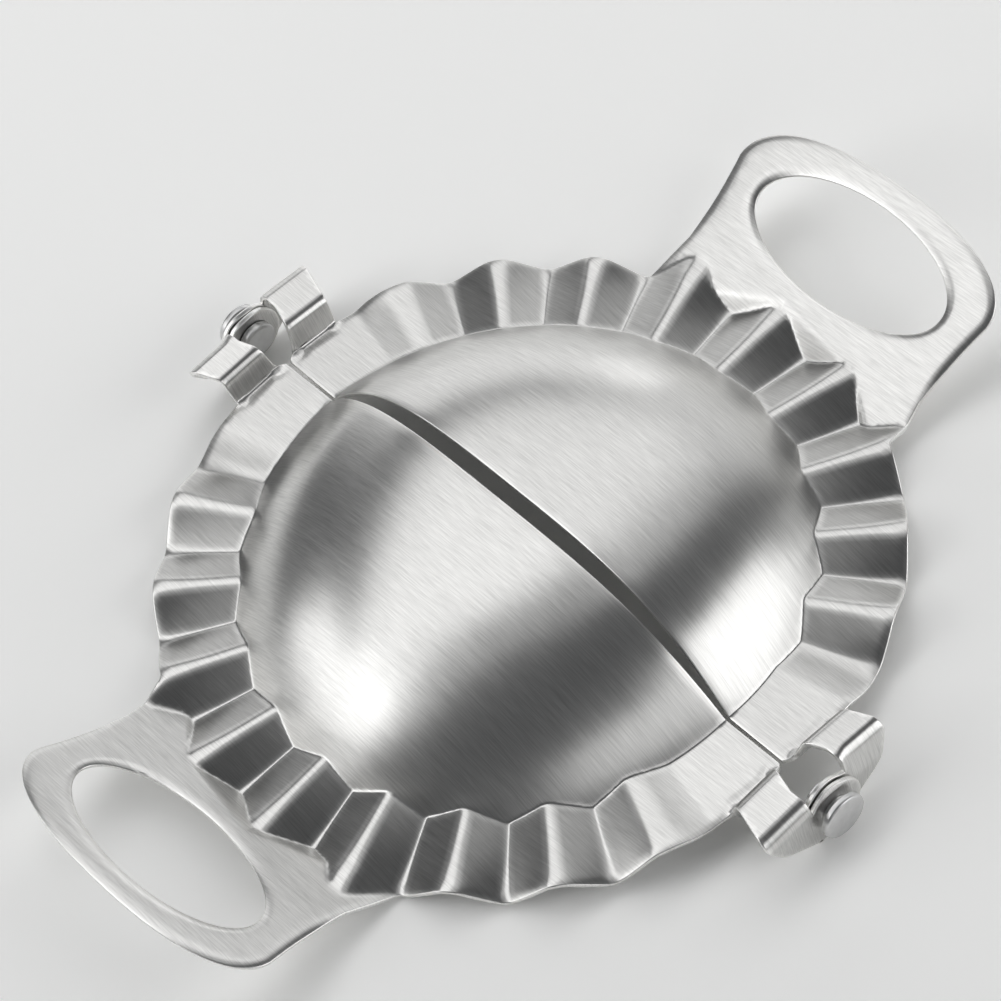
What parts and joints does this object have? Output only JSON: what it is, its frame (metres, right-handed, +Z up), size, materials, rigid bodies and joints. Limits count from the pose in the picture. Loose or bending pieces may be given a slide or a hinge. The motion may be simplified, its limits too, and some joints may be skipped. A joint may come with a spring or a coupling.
{
  "type": "pastry press",
  "caption": "Hand press of two hinged stamped-steel half domes with pleated rims and ring handles, for closing and crimping half-moon pastries.",
  "frame": {"origin": "on the table, in the middle between the two halves, below the hinge axis", "axes": "+X along the hinge towards the near ear, +Y from the front half to the rear half, +Z up"},
  "size_m": [0.1252, 0.1514, 0.0207],
  "materials": {
    "half_steel": "stainless sheet, brushed along the hinge line, satin on the pleats",
    "rivet_steel": "plain satin steel"
  },
  "bodies": {
    "front": {"front_half": "half_steel", "near_rivet": "rivet_steel"},
    "rear": {"rear_half": "half_steel", "far_rivet": "rivet_steel"}
  },
  "joints": [
    {"name": "fold_hinge", "type": "hinge", "parent": "front", "child": "rear", "pos_m": [0, 0, 0.00472], "axis": [-1, 0, 0], "range_deg": [-7.6, 172.3]}
  ]
}
